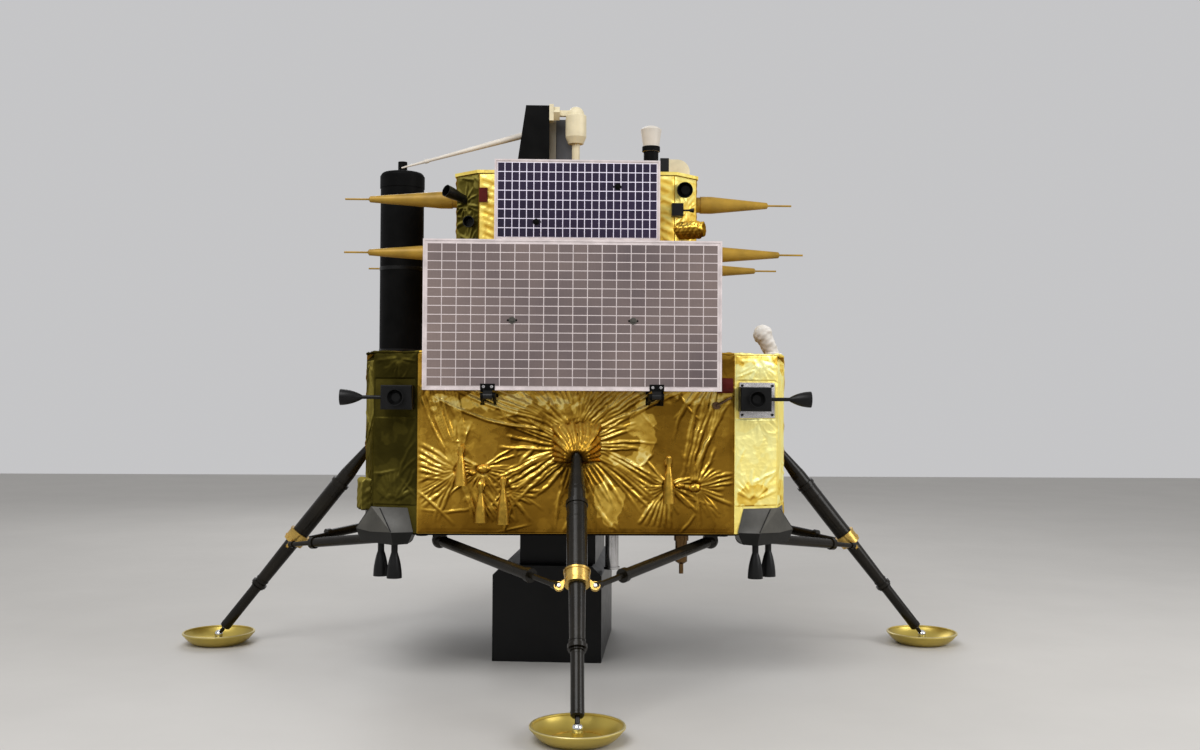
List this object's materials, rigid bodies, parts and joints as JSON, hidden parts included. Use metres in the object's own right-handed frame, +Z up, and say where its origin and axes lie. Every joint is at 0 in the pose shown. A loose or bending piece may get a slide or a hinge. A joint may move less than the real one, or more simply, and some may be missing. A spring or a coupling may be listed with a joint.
{
  "type": "lunar lander exhibition model",
  "caption": "Half-scale display model of a lunar lander with an ascent stage, four legs with dish pads, folding solar panels and a black stand under the belly.",
  "frame": {"origin": "on the floor under the centre of the four foot pads", "axes": "+Z up, -Y to the front leg, +X to the right leg"},
  "size_m": [2.637, 2.637, 1.804],
  "materials": {
    "gold_foil": "crinkled gold foil blanket",
    "olive_foil": "smooth amber foil blanket",
    "gold_metal": "satin gold",
    "black_tube": "satin black",
    "black_paint": "matt black",
    "black_bell": "matt black",
    "grey_sheet": "grey satin",
    "ball_chrome": "polished",
    "solar_cells": "pale frame with grey cells",
    "solar_cells_dark": "pale frame with dark blue cells",
    "cream_paint": "satin cream",
    "white_paint": "satin white",
    "boom_yellow": "satin ochre",
    "silver_metal": "bright metal",
    "slate_paint": "matt slate",
    "red_paint": "satin dark red",
    "stand_black": "gloss black"
  },
  "bodies": {
    "lander": {"adapter_posts": "silver_metal", "arm_shoulder": "white_paint", "ascent_body": "gold_foil", "ascent_engine": "silver_metal", "ascent_units": "black_bell", "backing_plates": "silver_metal", "belly_fittings": "silver_metal", "belly_plate": "black_paint", "body_core": "gold_foil", "booms": "boom_yellow", "brace_joints": "black_tube", "braces_back": "black_tube", "braces_front": "black_tube", "braces_left": "black_tube", "braces_right": "black_tube", "clamp_ring_back": "gold_metal", "clamp_ring_front": "gold_metal", "clamp_ring_left": "gold_metal", "clamp_ring_right": "gold_metal", "corner_bay_back_left": "olive_foil", "corner_bay_back_right": "olive_foil", "corner_bay_front_left": "olive_foil", "corner_bay_front_right": "olive_foil", "corner_brackets": "grey_sheet", "corner_nozzles": "black_bell", "docking_mast": "cream_paint", "dome_plate": "cream_paint", "drill_housing": "black_paint", "drive_rods": "silver_metal", "face_bells": "gold_metal", "foot_balls": "ball_chrome", "foot_pad_back": "gold_metal", "foot_pad_front": "gold_metal", "foot_pad_left": "gold_metal", "foot_pad_right": "gold_metal", "gold_sensor": "gold_foil", "hinge_brackets_back": "black_paint", "hinge_brackets_front": "black_paint", "hinge_motor": "red_paint", "horn_antenna": "white_paint", "main_strut_back": "black_tube", "main_strut_front": "black_tube", "main_strut_left": "black_tube", "main_strut_right": "black_tube", "mast_arm": "cream_paint", "root_covers": "gold_foil", "sample_rod": "cream_paint", "side_box": "olive_foil", "stand": "stand_black", "stand_neck": "stand_black", "thruster_unit_back_left": "black_bell", "thruster_unit_back_right": "black_bell", "thruster_unit_front_left": "black_bell", "thruster_unit_front_right": "black_bell", "top_box": "black_paint", "top_strip": "slate_paint"},
    "front_panel": {"solar_panel_front": "solar_cells"},
    "back_panel": {"solar_panel_back": "solar_cells"},
    "front_ascent_panel": {"ascent_panel_front": "solar_cells_dark"},
    "back_ascent_panel": {"ascent_panel_back": "solar_cells_dark"}
  },
  "joints": [
    {"name": "front_panel_hinge", "type": "hinge", "parent": "lander", "child": "front_panel", "pos_m": [0, -0.72, 0.84], "axis": [1, 0, 0], "range_deg": [0, 90]},
    {"name": "back_panel_hinge", "type": "hinge", "parent": "lander", "child": "back_panel", "pos_m": [0, 0.72, 0.84], "axis": [-1, 0, 0], "range_deg": [0, 90]},
    {"name": "front_ascent_panel_hinge", "type": "hinge", "parent": "lander", "child": "front_ascent_panel", "pos_m": [0, -0.452, 1.301], "axis": [1, 0, 0], "range_deg": [0, 90]},
    {"name": "back_ascent_panel_hinge", "type": "hinge", "parent": "lander", "child": "back_ascent_panel", "pos_m": [0, 0.452, 1.301], "axis": [-1, 0, 0], "range_deg": [0, 90]}
  ]
}
